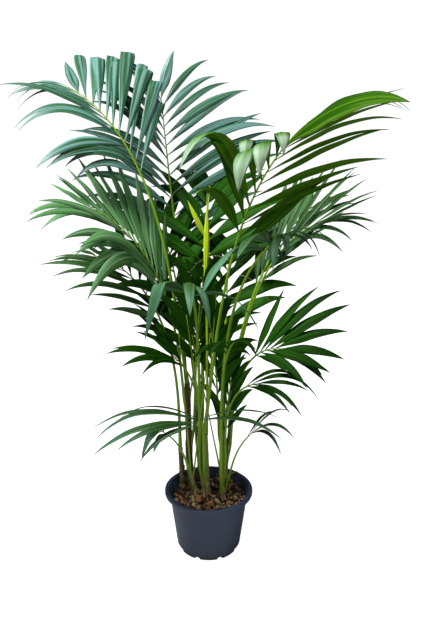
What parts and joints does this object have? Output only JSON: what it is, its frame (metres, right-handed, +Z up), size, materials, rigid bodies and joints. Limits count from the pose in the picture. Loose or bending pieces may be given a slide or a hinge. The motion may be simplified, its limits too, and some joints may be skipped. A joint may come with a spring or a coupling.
{
  "type": "potted kentia palm",
  "caption": "Kentia palm in a round plastic nursery pot: a clump of slender ringed stems, each with arching feather-like fronds.",
  "frame": {"origin": "centre of the pot's flat underside", "axes": "+Z up along the pot's axis, -Y towards the viewer's side of the crown, +X to the viewer's right"},
  "size_m": [0.9529, 0.9856, 1.3115],
  "materials": {
    "pot": "satin blue-grey polypropylene",
    "bark_compost": "coarse bark and coir chips",
    "bark_brown": "dry brown sheath over a ringed stem",
    "bark_olive": "olive ringed stem",
    "bark_green": "smooth green ringed stem, pale at its foot",
    "bark_pink": "pinkish brown papery sheath",
    "petiole": "smooth fresh green leaf stalk",
    "spear": "soft yellow-green unopened leaf",
    "frond": "satin deep green leaflets with fine lengthwise veins"
  },
  "bodies": {
    "root": {"pot": "pot", "soil": "bark_compost", "stem_back_left": "bark_brown", "stem_far_left": "bark_olive", "stem_front_left": "bark_green", "stem_back_centre": "bark_brown", "stem_centre": "bark_green", "stem_front_right": "bark_green", "stem_back_right": "bark_pink", "petiole_upper_left": "petiole", "petiole_top": "petiole", "petiole_right_front": "petiole", "petiole_left": "petiole", "petiole_right": "petiole", "petiole_right_back": "petiole", "petiole_right_near": "petiole", "petiole_right_low": "petiole", "petiole_low_right": "petiole", "petiole_left_back": "petiole", "petiole_mid_left": "petiole", "petiole_lowest": "petiole", "petiole_inner_right": "petiole", "petiole_inner_left": "petiole", "petiole_inner_mid": "petiole", "petiole_front_mid": "petiole", "petiole_front_low": "petiole", "petiole_small_left": "petiole", "petiole_small_right": "petiole", "petiole_back_high": "petiole", "petiole_back_left_mid": "petiole", "petiole_back_right_mid": "petiole", "petiole_back_low": "petiole", "spear": "spear", "frond_upper_left": "frond", "frond_top": "frond", "frond_right_front": "frond", "frond_left": "frond", "frond_right": "frond", "frond_right_back": "frond", "frond_right_near": "frond", "frond_right_low": "frond", "frond_low_right": "frond", "frond_left_back": "frond", "frond_mid_left": "frond", "frond_lowest": "frond", "frond_inner_right": "frond", "frond_inner_left": "frond", "frond_inner_mid": "frond", "frond_front_mid": "frond", "frond_front_low": "frond", "frond_small_left": "frond", "frond_small_right": "frond", "frond_back_high": "frond", "frond_back_left_mid": "frond", "frond_back_right_mid": "frond", "frond_back_low": "frond"}
  },
  "joints": []
}
